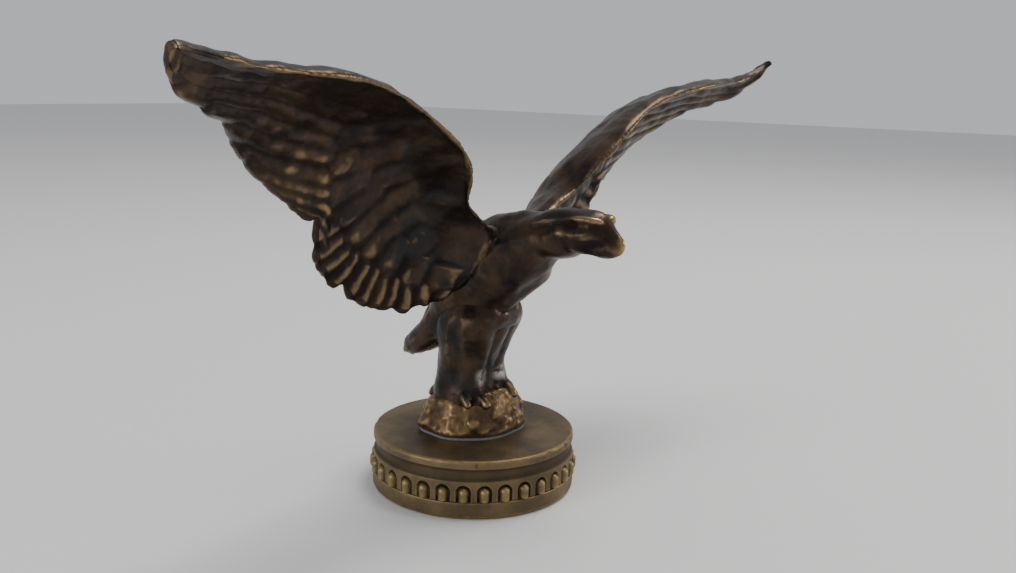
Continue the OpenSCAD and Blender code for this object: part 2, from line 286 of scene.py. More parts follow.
def aged_metal(name, patina, tone, wear_and_sheen_colour, tint, tint_share, dullness, blotch, wear_and_sheen_gain=1.0):
    """Old metal: a dark skin over a warmer tone in blotches, a tint in the hollows, bright metal
    where it is rubbed and where a painted sheen or highlight is added, pale metal for a painted
    reflection, and fine casting grain with pits and hairline scratches."""
    # Pale colour of the painted reflection laid on the front of the ankles.
    painted_glint_colour = (0.36, 0.34, 0.30)
    pit_depth = 0.00012
    metal = bpy.data.materials.new(name)
    metal.use_nodes = True
    nodes, links = metal.node_tree.nodes, metal.node_tree.links
    shader = nodes["Principled BSDF"]
    place = nodes.new("ShaderNodeTexCoord").outputs["Object"]

    def grain(scale, detail=5.0, rough=0.6):
        texture = nodes.new("ShaderNodeTexNoise")
        texture.inputs["Scale"].default_value = scale
        texture.inputs["Detail"].default_value = detail
        texture.inputs["Roughness"].default_value = rough
        links.new(place, texture.inputs["Vector"])
        return texture.outputs[0]

    def sums(kind, a, b, c=None, clamp=False):
        made = nodes.new("ShaderNodeMath")
        made.operation = kind
        made.use_clamp = clamp
        for socket, value in zip(made.inputs, (a, b, c)):
            if value is None:
                continue
            if isinstance(value, (int, float)):
                socket.default_value = value
            else:
                links.new(value, socket)
        return made.outputs[0]

    def between(value, low, high, to_low=0.0, to_high=1.0):
        made = nodes.new("ShaderNodeMapRange")
        made.interpolation_type = "SMOOTHSTEP"
        links.new(value, made.inputs["Value"])
        made.inputs["From Min"].default_value = low
        made.inputs["From Max"].default_value = high
        made.inputs["To Min"].default_value = to_low
        made.inputs["To Max"].default_value = to_high
        return made.outputs[0]

    def blended(share, a, b):
        made = nodes.new("ShaderNodeMix")
        made.data_type = "RGBA"
        links.new(share, made.inputs[0])
        for socket, colour in ((made.inputs[6], a), (made.inputs[7], b)):
            if isinstance(colour, tuple):
                socket.default_value = (*colour, 1)
            else:
                links.new(colour, socket)
        return made.outputs[2]

    def noted(what):
        made = nodes.new("ShaderNodeAttribute")
        made.attribute_name = what
        return made.outputs["Fac"]

    blotches = grain(blotch, 6.0, 0.62)
    specks = grain(blotch * 11, 5.0, 0.7)
    colour = blended(between(blotches, 0.38, 0.66), patina, tone)
    stains = between(grain(blotch * 0.62, 4.0, 0.6), 0.48, 0.62, 0.0, tint_share)
    hollow = noted("grime")
    sheltered = sums("ADD", sums("MULTIPLY", hollow, 0.8), 0.25, clamp=True)
    colour = blended(sums("MULTIPLY", stains, sheltered), colour, tint)
    colour = blended(sums("MULTIPLY", hollow, 0.85), colour, tuple(0.35 * c for c in patina))
    uneven = sums("MULTIPLY", sums("SUBTRACT", specks, 0.5), 0.55)
    # Bright metal where it is rubbed, and also where a painted sheen or highlight was added to this mask.
    wear_and_sheen = between(sums("MULTIPLY_ADD", noted("wear_and_sheen"), wear_and_sheen_gain, uneven), 0.3, 1.5)
    colour = blended(wear_and_sheen, colour, wear_and_sheen_colour)
    # Painted reflection: pale metal colour on the front of the ankles, where the light catches them.
    painted_glint = sums("MULTIPLY", noted("painted_glint"), between(grain(blotch * 2.2, 4.0, 0.6), 0.42, 0.56))
    colour = blended(painted_glint, colour, painted_glint_colour)
    links.new(colour, shader.inputs["Base Color"])
    links.new(between(wear_and_sheen, 0.0, 1.0, 0.82, 1.0), shader.inputs["Metallic"])
    roughness = sums("MULTIPLY_ADD", specks, 0.22, dullness - 0.06)
    roughness = sums("MULTIPLY_ADD", wear_and_sheen, -0.1, roughness)
    links.new(sums("MULTIPLY_ADD", hollow, 0.2, roughness), shader.inputs["Roughness"])

    scratches = nodes.new("ShaderNodeTexNoise")
    scratches.inputs["Scale"].default_value = 260
    scratches.inputs["Detail"].default_value = 3
    stretch = nodes.new("ShaderNodeMapping")
    stretch.inputs["Scale"].default_value = (1, 9, 3)
    stretch.inputs["Rotation"].default_value = (0.4, 0.3, 0.7)
    links.new(place, stretch.inputs["Vector"])
    links.new(stretch.outputs[0], scratches.inputs["Vector"])
    fine_grain = sums("MULTIPLY", grain(1500, 4.0, 0.65), 0.5)
    coarse_grain = sums("MULTIPLY", grain(420, 4.0, 0.55), 0.9)
    surface = sums("ADD", fine_grain, coarse_grain)
    surface = sums("MULTIPLY_ADD", scratches.outputs[0], 0.35, surface)
    bump = nodes.new("ShaderNodeBump")
    bump.inputs["Strength"].default_value = 0.6
    bump.inputs["Distance"].default_value = pit_depth
    links.new(surface, bump.inputs["Height"])
    links.new(bump.outputs[0], shader.inputs["Normal"])
    return metal


cap_brass = aged_metal(
    "aged_cap_brass", patina=(0.105, 0.075, 0.044), tone=(0.19, 0.135, 0.068),
    wear_and_sheen_colour=(0.50, 0.36, 0.14), tint=(0.060, 0.050, 0.045), tint_share=0.4, dullness=0.46,
    blotch=60, wear_and_sheen_gain=0.85)
bm = turned(cap_outline, cap_columns, 5)
shape_cap(bm)
cap = finished("ribbed_cap", bm, cap_brass)
note_wear(cap.data, rub_depth=0.3, grime_depth=0.3)
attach(cap, "cap")
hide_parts("cap_shell")

# ---------- neck bush ----------
# A turned brass ring with 12 threads per inch that screw on the filler neck. It is soldered
# into the socket of the cap shell.


def plain_stuff(name, dark, light, rough, grain_scale, metallic=0.0, pitch=0.0):
    """A cut or turned material: two tones in fine grain, a bump of the same grain and, with a pitch
    in metres, the ridges of a screw thread along the Z axis."""
    grain_depth = 0.00005
    stuff = bpy.data.materials.new(name)
    stuff.use_nodes = True
    nodes, links = stuff.node_tree.nodes, stuff.node_tree.links
    shader = nodes["Principled BSDF"]
    shader.inputs["Metallic"].default_value = metallic
    place = nodes.new("ShaderNodeTexCoord").outputs["Object"]
    texture = nodes.new("ShaderNodeTexNoise")
    texture.inputs["Scale"].default_value = grain_scale
    texture.inputs["Detail"].default_value = 6
    links.new(place, texture.inputs["Vector"])
    tones = nodes.new("ShaderNodeMix")
    tones.data_type = "RGBA"
    tones.inputs[6].default_value = (*dark, 1)
    tones.inputs[7].default_value = (*light, 1)
    links.new(texture.outputs[0], tones.inputs[0])
    links.new(tones.outputs[2], shader.inputs["Base Color"])
    roughness = nodes.new("ShaderNodeMapRange")
    roughness.inputs["To Min"].default_value = rough - 0.12
    roughness.inputs["To Max"].default_value = rough + 0.12
    links.new(texture.outputs[0], roughness.inputs["Value"])
    links.new(roughness.outputs[0], shader.inputs["Roughness"])
    bump = nodes.new("ShaderNodeBump")
    bump.inputs["Distance"].default_value = grain_depth
    links.new(texture.outputs[0], bump.inputs["Height"])
    if pitch:
        ridges = nodes.new("ShaderNodeTexWave")
        ridges.bands_direction = "Z"
        ridges.inputs["Scale"].default_value = 0.314 / pitch
        links.new(place, ridges.inputs["Vector"])
        thread = nodes.new("ShaderNodeBump")
        thread.inputs["Distance"].default_value = pitch * 0.5
        links.new(ridges.outputs["Fac"], thread.inputs["Height"])
        links.new(thread.outputs[0], bump.inputs["Normal"])
    links.new(bump.outputs[0], shader.inputs["Normal"])
    return stuff


def give(node, stuff):
    """Puts a material on a piece that keeps the shape it has in the frame."""
    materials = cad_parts[node].data.materials
    if len(materials):
        materials[0] = stuff
    else:
        materials.append(stuff)


bush_brass = plain_stuff("turned_brass", (0.19, 0.13, 0.055), (0.42, 0.30, 0.13), 0.38,
                         grain_scale=500, metallic=1.0, pitch=2.117 * mm)
give("neck_bush", bush_brass)

# ---------- gaskets ----------
# A ring of black rubber seals the cap on the filler neck. A washer of grey vulcanised fibre seals the
# hole for the stud, and a thin sheet of the same fibre lies between the disc and the rock.
rubber = plain_stuff("black_rubber", (0.012, 0.012, 0.013), (0.035, 0.034, 0.033), 0.7,
                     grain_scale=1400)
fibre = plain_stuff("vulcanised_fibre", (0.10, 0.11, 0.125), (0.21, 0.225, 0.24), 0.75,
                    grain_scale=700)
give("neck_gasket", rubber)
give("sealing_washer", fibre)
give("rock_gasket", fibre)

# ---------- rock ----------
# The mound under the bird's feet is a small bronze casting of its own, modelled as broken rock
# and clamped to the cap by the stud that runs up through it.
rock_z = 18.2
lump_top = 9.4
rock_turn = radians(-28)
rock_half_l = 16.5
rock_half_w = 12.75
# Share of the foot's outline at each height above the foot.
rock_slope = [(0, 1.05), (1.4, 1.08), (3.6, 1.03), (6.4, 0.95), (9.2, 0.87), (12.2, 0.68)]
# Boulders that stand out of the mound: angle in degrees, share of the way out, height, radius.
rock_lumps = [
    (186, 0.84, 4.0, 4.8), (222, 0.86, 4.6, 4.2), (246, 0.88, 3.0, 4.4), (272, 0.88, 5.4, 3.4),
    (296, 0.88, 3.4, 4.4), (318, 0.88, 6.0, 3.6), (345, 0.86, 4.2, 4.8), (25, 0.86, 4.2, 4.6),
    (60, 0.86, 5.0, 4.2), (96, 0.88, 4.0, 4.2), (130, 0.86, 5.2, 4.4), (158, 0.88, 3.6, 4.2),
    (335, 0.78, 9.2, 3.4), (205, 0.76, 8.6, 3.4), (262, 0.78, 8.2, 3.0), (300, 0.80, 8.6, 3.0),
    (100, 0.78, 8.6, 3.4), (20, 0.78, 8.6, 3.4), (165, 0.78, 8.0, 3.2),
]


def closed_skin(bm, around, rings, place):
    """Adds a ball and moves each of its points to place(share along it, angle round it)."""
    ball = bmesh.new()
    bmesh.ops.create_uvsphere(ball, u_segments=around, v_segments=rings, radius=1)
    for v in ball.verts:
        share = acos(max(-1, min(1, v.co.z))) / pi
        v.co = place(share, atan2(v.co.y, v.co.x))
    shape = bpy.data.meshes.new("shape")
    ball.to_mesh(shape)
    ball.free()
    bm.from_mesh(shape)
    bpy.data.meshes.remove(shape)


def along(stations, place):
    """The values at a place on a smooth curve through the stations; place 0 is the first station."""
    i = max(0, min(int(place), len(stations) - 2))
    t = place - i
    a, b, c, d = (stations[max(0, min(len(stations) - 1, k))] for k in (i - 1, i, i + 1, i + 2))
    t2, t3 = t * t, t * t * t
    wa, wb, wc, wd = -t + 2 * t2 - t3, 2 - 5 * t2 + 3 * t3, t + 4 * t2 - 3 * t3, t3 - t2
    return [0.5 * (wa * p + wb * q + wc * r + wd * s) for p, q, r, s in zip(a, b, c, d)]


def rock_outline(angle, share):
    """A place on the uneven oval outline, made larger or smaller by that share."""
    edge = share * (1 + 0.035 * sin(3 * angle + radians(40)) + 0.02 * sin(7 * angle))
    x, y = rock_half_l * edge * cos(angle), rock_half_w * edge * sin(angle)
    return x * cos(rock_turn) - y * sin(rock_turn), x * sin(rock_turn) + y * cos(rock_turn)


def rock_skin(share, angle):
    """The mound without its boulders, from its foot up."""
    rise = min(1, max(0, (share - 0.04) / 0.86))
    height, wide = along(rock_slope, rise * (len(rock_slope) - 1))
    wide *= 0.97 * sqrt(max(0, min(1, (1 - share) / 0.1, share / 0.04)))
    x, y = rock_outline(angle, wide)
    return Vector((x, y, rock_z + height))


def cast(name, bm, grid):
    """Casts the overlapping shapes of a mesh in one piece, on a grid of that many mm."""
    mesh = bpy.data.meshes.new(name)
    bm.to_mesh(mesh)
    bm.free()
    pattern = bpy.data.objects.new(name, mesh)
    bpy.context.collection.objects.link(pattern)
    fuse = pattern.modifiers.new("fuse", "REMESH")
    fuse.mode = "VOXEL"
    fuse.voxel_size = grid
    graph = bpy.context.evaluated_depsgraph_get()
    casting = bpy.data.meshes.new_from_object(pattern.evaluated_get(graph))
    bpy.data.objects.remove(pattern)
    bpy.data.meshes.remove(mesh)
    cast_bm = bmesh.new()
    cast_bm.from_mesh(casting)
    bpy.data.meshes.remove(casting)
    return cast_bm


def soften(bm, times):
    """Takes the crispness off an edge, as old moulding sand and years of polishing do."""
    for k in range(times):
        bmesh.ops.smooth_vert(bm, verts=bm.verts, factor=0.5,
                              use_axis_x=True, use_axis_y=True, use_axis_z=True)


rock_bronze = aged_metal(
    "aged_rock_bronze", patina=(0.075, 0.046, 0.024), tone=(0.17, 0.102, 0.048),
    wear_and_sheen_colour=(0.42, 0.29, 0.14), tint=(0.05, 0.055, 0.05), tint_share=0.3, dullness=0.36,
    blotch=130, wear_and_sheen_gain=0.8)
bm = bmesh.new()
closed_skin(bm, 48, 20, rock_skin)
for turn, share, height, radius in rock_lumps:
    x, y = rock_outline(radians(turn), share * along(rock_slope, height / 2.2)[1])
    x -= x / hypot(x, y) * radius * 0.55
    y -= y / hypot(x, y) * radius * 0.55
    lump = Matrix.Translation((x, y, rock_z + min(height, lump_top))) @ Matrix.Rotation(turn, 4, "Z")
    bmesh.ops.create_icosphere(bm, subdivisions=2, radius=radius,
                               matrix=lump @ Matrix.Diagonal((1, 0.85, 0.95, 1)))
bm = cast("rock", bm, 0.38)
for v in bm.verts:
    if v.co.z > rock_z + 0.4:
        crack = max(0, 0.16 - abs(noise.noise(v.co * 0.17 + Vector((3, 1, 7)))))
        v.co += v.normal * (0.8 * noise.noise(v.co * 0.22) + 0.3 * noise.noise(v.co * 0.6) - 1.6 * crack)
soften(bm, 4)
for v in bm.verts:
    v.co.z = max(rock_z, v.co.z)
rock = finished("rock_casting", bm, rock_bronze)
note_wear(rock.data)
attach(rock, "mascot")
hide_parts("rock_mound")

# ---------- legs ----------
# The two feathered legs are one bronze casting, drilled and tapped from below for the stud and
# brazed into the belly. Their ankles carry a painted reflection: pale metal colour on their front.

# Stations of one leg: height, distance of its middle from the bird's, half width, front y, rear y.
leg_stations = [
    (27.0, 6.0, 6.4, -8.4, 10.4), (30.5, 5.8, 6.4, -7.6, 10.0), (34, 5.6, 6.4, -6.6, 9.4),
    (38, 5.5, 6.5, -6.4, 8.8), (44, 5.8, 6.9, -8.0, 8.6), (50, 6.2, 7.3, -10.8, 8.4),
    (55, 6.0, 7.1, -12, 7.4), (60, 5.0, 5.5, -10, 4),
]
# Toes of the left foot: x, y, z of places on their middle lines, and the radius there.
toe_paths = [
    [(6.2, -4.0, 31.0, 2.4), (6.6, -8.0, 29.2, 1.9), (7.0, -10.4, 27.0, 1.3)],
    [(3.0, -4.0, 30.8, 2.2), (2.4, -8.0, 29.0, 1.8), (2.1, -10.2, 27.0, 1.3)],
    [(9.6, -2.6, 30.8, 2.2), (11.0, -5.2, 28.8, 1.8), (11.6, -6.6, 27.0, 1.2)],
    [(6.6, 7.0, 30.8, 2.2), (7.2, 10.2, 28.4, 1.7), (7.5, 11.6, 27.0, 1.1)],
]


def leg_skin(side):
    """The left leg, the right one or, with side 0, the metal that joins them."""
    def place(share, angle):
        station = min(1, max(0, (share - 0.03) / 0.94))
        z, middle, half, front, rear = along(leg_stations, station * (len(leg_stations) - 1))
        if side == 0:
            open_share = max(0, min(1, (41 - z) / 5))
            half, front, rear = 8.2 - 2 * open_share, front - 0.3 + 1.2 * open_share, rear - 0.4
        full = min(1, share / 0.03, (1 - share) / 0.03)
        return Vector((side * middle + half * full * cos(angle),
                       (front + rear) / 2 + (rear - front) / 2 * full * sin(angle), z))
    return place


def rod(bm, path, rings=16):
    """A round rod along a smooth path; each place on the path is x, y, z and the radius there."""
    def place(share, angle):
        x, y, z, radius = along(path, share * (len(path) - 1))
        ahead = Vector(along(path, min(1, share + 0.02) * (len(path) - 1))[:3])
        ahead = (ahead - Vector(along(path, max(0, share - 0.02) * (len(path) - 1))[:3])).normalized()
        across = ahead.cross((0.2, 0.1, 1)).normalized()
        rise = across.cross(ahead)
        swell = sqrt(max(0, min(1, share / 0.08, (1 - share) / 0.08)))
        return Vector((x, y, z)) + (across * cos(angle) + rise * sin(angle)) * radius * swell
    closed_skin(bm, 10, rings, place)


def hand_worked(bm, depth, size, fine_depth=0.0, fine_size=1.0):
    """Gives a surface the slight unevenness of a hand-made pattern; depths and sizes in mm."""
    bm.normal_update()
    for v in bm.verts:
        out = depth * noise.noise(v.co / size) + fine_depth * noise.noise(v.co / fine_size)
        v.co += v.normal * out


def press(bm, centre, radii, depth, towards):
    """Presses a soft hollow into the surface, or raises a lump where depth is negative."""
    centre, towards = Vector(centre), Vector(towards).normalized()
    for v in bm.verts:
        away = v.co - centre
        far = (away.x / radii[0]) ** 2 + (away.y / radii[1]) ** 2 + (away.z / radii[2]) ** 2
        if far < 1:
            v.co += towards * depth * (1 - far) ** 2


bronze = aged_metal(
    "aged_bronze", patina=(0.019, 0.013, 0.012), tone=(0.066, 0.039, 0.022),
    wear_and_sheen_colour=(0.34, 0.232, 0.115), tint=(0.040, 0.058, 0.066), tint_share=0.55, dullness=0.31,
    blotch=75)
bm = bmesh.new()
for side in (-1, 1):
    closed_skin(bm, 40, 30, leg_skin(side))
    for path in toe_paths:
        rod(bm, [(side * x, y, z, r) for x, y, z, r in path])
closed_skin(bm, 40, 30, leg_skin(0))
rod(bm, [(-7, -8.6, 53, 3.2), (0, -9.4, 54, 3.8), (7, -8.6, 53, 3.2)])
bm = cast("legs", bm, 0.38)
for side in (-1, 1):
    press(bm, (side * 12.6, -1.8, 45), (4, 3.4, 16), 1.1, (-side, 0.2, 0))
hand_worked(bm, 0.8, 7.0, 0.1, 1.4)
soften(bm, 6)
legs = finished("legs_casting", bm, bronze)
note_wear(legs.data, rubbed_share=0.6)
# Painted reflection: pale metal colour at the front of the ankles, where the light catches them.
painted_glint = []
for v in legs.data.vertices:
    at_ankle = max(0, min(1, 1.6 - abs(v.co.z / mm - 35.4) / 1.9))
    in_front = max(0, min(1, (-3.4 - v.co.y / mm) / 1.6))
    on_leg = max(0, min(1, 1.5 - abs(abs(v.co.x / mm) - 4.6) / 2.4))
    painted_glint.append(at_ankle * in_front * on_leg)
legs.data.attributes.new("painted_glint", "FLOAT", "POINT").data.foreach_set("value", painted_glint)
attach(legs, "mascot")
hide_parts("eagle_legs")

# ---------- body ----------
# The trunk, head and tail are one bronze casting. Its brows, eyes, beak and tail feathers are
# cast in and softened by wear, and its shoulders swell out to take the wings' tenons.

# Stations from the tail to the beak: upper y, z, lower y, z, half width.
trunk_stations = [
    (25.4, 39.0, 23.4, 37.2, 5.0), (23.6, 41, 20.8, 38.3, 7.6), (20.8, 45.4, 17.2, 39.9, 8.6),
    (17.8, 50.4, 9, 43, 8.8), (16, 55.4, -1, 46.4, 10), (12.5, 63.5, -8, 51.5, 11.5),
    (6.5, 73, -13, 57, 12.8), (-0.5, 81, -18.5, 62, 13.2), (-7.5, 84.6, -22.6, 66, 12.6),
    (-14.5, 85.8, -24.8, 70, 10.4), (-23, 87.0, -27.6, 73.4, 8.4), (-32, 88.9, -34, 75.2, 7.4),
    (-39.6, 88.7, -39, 75.8, 6), (-43.0, 87.2, -42.6, 75.4, 4.6), (-45.8, 84.7, -44.9, 75.6, 3.4),
    (-48.1, 82.4, -47.0, 76.1, 2.3), (-49.8, 80.2, -48.9, 77.2, 1.0),
]
trunk_places = len(trunk_stations) - 1


def trunk_spot(place, angle, out):
    """A place on the trunk: station counted from the tail, angle round it, and mm outwards."""
    upper_y, upper_z, lower_y, lower_z, half = along(trunk_stations, max(0, min(trunk_places, place)))
    y, z = (upper_y - lower_y) / 2, (upper_z - lower_z) / 2
    deep = hypot(y, z)
    return Vector(((half + out) * cos(angle), (upper_y + lower_y) / 2 + y * sin(angle) * (1 + out / deep),
                   (upper_z + lower_z) / 2 + z * sin(angle) * (1 + out / deep)))


def trunk_skin(share, angle):
    """The whole trunk as one skin, closed at the tail and at the beak."""
    place = min(1, max(0, (share - 0.015) / 0.97)) * trunk_places
    full = min(1, share / 0.015, (1 - share) / 0.015)
    middle = (trunk_spot(place, angle, 0) + trunk_spot(place, angle + pi, 0)) / 2
    return middle.lerp(trunk_spot(place, angle, 0), full)


def tail_feather(bm, start, end, rings=16):
    """Lays one feather on the tail, from its quill to its rounded end, each given by the station
    and the angle on the trunk."""
    half_width = 2.3
    thick = 0.8
    tilt = 0.15
    bluntness = 1.2

    def middle(s, out=0.0):
        return trunk_spot(start[0] + (end[0] - start[0]) * s, start[1] + (end[1] - start[1]) * s, out)

    length = (middle(1) - middle(0)).length
    tip = 1 - min(0.85, bluntness * half_width / length)

    def place(share, angle):
        here = middle(share)
        rise = (middle(share, 1.0) - here).normalized()
        ahead = middle(min(1, share + 0.03)) - middle(max(0, share - 0.03))
        across = rise.cross(ahead).normalized()
        full = 0.7 + 0.3 * min(1, share / 0.5)
        full *= sqrt(max(0, 1 - (max(0, share - tip) / (1 - tip)) ** 2))
        full *= sqrt(min(1, share / 0.12))
        b = cos(angle)
        quill = 0.16 * exp(-(b / 0.16) ** 2) if sin(angle) > 0 else 0
        out = thick / 2 * sin(angle) * min(1, full ** 0.6) + quill * full
        return here + across * half_width * full * b + rise * (out + tilt * b * full)
    closed_skin(bm, 12, rings, place)


bm = bmesh.new()
closed_skin(bm, 56, 68, trunk_skin)
for k in range(7):
    for side in (-1, 1):
        angle = side * radians(90) + radians(20 * (k - 3)) * side
        tail_feather(bm, (4.6 - 0.1 * abs(k - 3), angle), (0.02 + 0.1 * abs(k - 3), angle))
for side in (-1, 1):
    rod(bm, [(side * 7.0, -20, 82.6, 0.3), (side * 6.7, -28, 85.0, 0.7), (side * 5.4, -36.0, 86.6, 0.9),
             (side * 4.0, -41.6, 86.5, 0.9), (side * 2.6, -44.4, 86.0, 0.9)], rings=24)
    rod(bm, [(side * 5.9, -34.5, 78.6, 0.4), (side * 5.0, -38, 77.6, 0.6), (side * 3.7, -42, 76.9, 0.6),
             (side * 2.2, -45, 76.9, 0.6), (side * 0.7, -47.2, 77.4, 0.5)], rings=24)
    rod(bm, [(side * 6, -10.6, 77.0, 5.5), (side * 10.5, -11.2, 78.6, 4.0),
             (side * 13.6, -12.4, 80.6, 1.6)], rings=20)
rod(bm, [(0, -40, 86.2, 1.2), (0, -43.4, 85.0, 1.2), (0, -46.2, 83.1, 1.1), (0, -48.6, 80.7, 0.95),
         (0, -48.7, 79.0, 0.9), (0, -47.6, 77.5, 0.7)], rings=24)
bm = cast("body", bm, 0.36)
for side in (-1, 1):
    press(bm, (side * 6.8, -36.6, 84.6), (4.0, 6.0, 2.2), 1.2, (-side, 0, -0.1))
    press(bm, (side * 5.4, -38.2, 84.3), (2.5, 1.6, 1.4), -0.25, (-side, 0, 0))
    press(bm, (side * 6.8, -34.4, 82.2), (3.0, 3.6, 1.8), -0.2, (-side, 0, 0))
    press(bm, (side * 4.9, -41.6, 79.6), (3.5, 6.4, 2.2), 1.2, (-side, 0, 0.1))
    press(bm, (side * 11.5, -16, 69), (7, 5, 7), 1.2, (-side, 0.3, 0))
hand_worked(bm, 1.0, 6.5, 0.16, 2.4)
soften(bm, 5)
body = finished("body_casting", bm, bronze)
note_wear(body.data, rubbed_share=0.6)
# The tip of the beak is worn brightest, and a painted highlight lies on the brows.
for v, wear_and_sheen in zip(body.data.vertices, body.data.attributes["wear_and_sheen"].data):
    from_tip = (v.co / mm - Vector((0, -49.5, 80.6))).length
    from_brow_highlight = (Vector((abs(v.co.x), v.co.y, v.co.z)) / mm - Vector((3.4, -43.6, 87))).length
    wear_and_sheen.value += 1.0 * exp(-(from_tip / 1.9) ** 2) + 0.6 * exp(-(from_brow_highlight / 2.2) ** 2)
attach(body, "mascot")
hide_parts("eagle_body")

# ---------- wings ----------
# Each wing is a thin bronze casting with its feathers on both faces, the rear ones lower. A
# tenon holds it in the shoulder. Hands and polish have worn the front edge bright; the ridges of
# the feathers are worn bright and also carry a painted sheen, and the hollows between them keep a dark
# skin.
wing_arch = 10
edge_thick = 3.2
tip_thick = 1.4
arm_bulk = 3
left_tip_bend = Vector((0, -4, 4.5))
# Stations from the root to the tip: front edge x, y, z and rear edge x, y, z of the left wing.
wing_stations = [
    (12, -12.5, 82, 12, -2, 64), (19, -14.5, 86, 20, 0, 60.6), (28.5, -17.5, 91.5, 32, 3, 59),
    (33, -22, 98.5, 44, 5.5, 62), (39, -25, 104.5, 56.3, 5, 68.6),
    (47, -26, 110.3, 65.8, 2.2, 77), (57, -26.5, 115.6, 70, -1, 86.5),
    (68.5, -29, 119.6, 78.5, -1, 94), (81, -32.5, 122.4, 91, -3.5, 102.5),
    (92, -34, 123.8, 103.5, -11.5, 110.8), (104, -33, 124.4, 111.5, -18, 115),
    (116, -33, 125.6, 120, -23, 117.6), (126, -34, 127.3, 129, -28, 121),
    (132.6, -34.6, 128, 132.4, -31.6, 125),
]
# Share of the full arch at even steps from the root to the tip.
arch_shares = [(0.4,), (0.85,), (1,), (0.9,), (0.72,), (0.5,), (0.32,), (0.2,), (0.08,)]
# Flight feathers from the first primary to the innermost one: quill u, v, end u, v and half width.
# u runs from the root to the tip of the wing, and v from its front edge to its rear edge.
flight_feathers = [
    (0.42, 0.10, 0.975, 0.14, 2.4), (0.42, 0.19, 0.990, 0.42, 2.6), (0.43, 0.28, 0.975, 0.72, 2.6),
    (0.44, 0.38, 0.900, 0.84, 3.0), (0.45, 0.46, 0.810, 0.92, 3.2), (0.465, 0.55, 0.715, 0.94, 3.4),
    (0.445, 0.66, 0.668, 0.98, 3.5), (0.425, 0.73, 0.628, 0.985, 3.0), (0.405, 0.79, 0.582, 0.985, 2.7),
    (0.385, 0.84, 0.540, 0.985, 2.4), (0.370, 0.88, 0.500, 0.985, 2.0),
    (0.365, 0.72, 0.440, 0.97, 2.8), (0.338, 0.74, 0.402, 0.98, 2.7), (0.310, 0.75, 0.362, 0.985, 2.7),
    (0.284, 0.75, 0.322, 0.985, 2.6), (0.256, 0.74, 0.276, 0.985, 2.7), (0.230, 0.73, 0.244, 0.985, 2.6),
    (0.204, 0.73, 0.212, 0.985, 2.6), (0.178, 0.73, 0.184, 0.985, 2.5), (0.150, 0.74, 0.152, 0.985, 2.6),
    (0.118, 0.75, 0.112, 0.97, 2.8), (0.080, 0.75, 0.068, 0.95, 3.0),
]
# Rows of coverts, from the rear row to the front one, in the same terms.
great_coverts = [
    (0.40, 0.36, 0.468, 0.59, 4.6), (0.37, 0.40, 0.432, 0.675, 5.2), (0.325, 0.40, 0.372, 0.68, 5.4),
    (0.275, 0.40, 0.318, 0.70, 5.2), (0.23, 0.44, 0.262, 0.69, 4.8), (0.185, 0.48, 0.205, 0.71, 4.6),
    (0.135, 0.52, 0.145, 0.72, 4.4), (0.085, 0.56, 0.085, 0.74, 4.4),
]
middle_coverts = [
    (0.42, 0.20, 0.500, 0.43, 4.4), (0.365, 0.22, 0.425, 0.46, 4.8), (0.31, 0.24, 0.362, 0.48, 4.8),
    (0.25, 0.26, 0.292, 0.50, 4.8), (0.195, 0.30, 0.225, 0.52, 4.4), (0.14, 0.35, 0.155, 0.55, 4.2),
]
hand_coverts = [
    (0.45, 0.33, 0.590, 0.56, 3.2), (0.46, 0.24, 0.650, 0.46, 3.2), (0.47, 0.15, 0.710, 0.34, 3.0),
    (0.50, 0.08, 0.780, 0.20, 2.6),
]
# Notches in the rear edge: the place u, the half width in u, and the depth as a share of the chord.
notches = [
    (0.465, 0.016, 0.055), (0.292, 0.014, 0.045), (0.178, 0.010, 0.025), (0.118, 0.010, 0.03),
    (0.735, 0.030, 0.03), (0.64, 0.010, 0.012), (0.585, 0.010, 0.012), (0.535, 0.010, 0.012),
    (0.41, 0.008, 0.01), (0.36, 0.008, 0.01), (0.25, 0.008, 0.012), (0.212, 0.008, 0.012),
]


def rear_edge(u):
    """Share of the chord that the metal reaches, with a notch between the groups of feathers."""
    return 0.99 - sum(depth * exp(-((u - place) / wide) ** 2) for place, wide, depth in notches)


def wing_spot(u, v, out, bend=Vector()):
    """A place in the left wing: u along it, v from front to rear, and mm towards its back."""
    s = along(wing_stations, u * (len(wing_stations) - 1))
    front = Vector(s[:3])
    chord = Vector(s[3:]) - front
    front += bend * (max(0, u - 0.86) / 0.14) ** 2
    rise = Vector((1, -0.3, 0.4)).cross(chord).normalized()
    root = max(0, 1 - 5 * u) ** 2
    arch = wing_arch * along(arch_shares, u * (len(arch_shares) - 1))[0] * (1 - root)
    return front + chord * v + rise * (arch * sin(pi * max(0, v) ** 0.8) + out)


def arm_muscle(u, v):
    """How far the thick arm swells the back of the wing, in mm."""
    return arm_bulk * sin(pi * v) * sin(pi * min(1, 1.6 * u))


def wing_thickness(u, v):
    """Thickness of the metal before the feathers are raised, in mm."""
    root = max(0, 1 - 5 * u) ** 2
    thick = tip_thick + (edge_thick * (1 - 0.4 * u) - tip_thick) * (1 - v) ** 2
    thick *= min(1, 12 * v + 0.35, 10 * (1 - v) + 0.35)
    finger = 2.3 * min(1, max(0, (u - 0.9) / 0.07)) * sqrt(max(0, 1 - (2 * v - 1) ** 2))
    return max(thick, finger) + 11 * root * (1 - (2 * v - 1) ** 2)


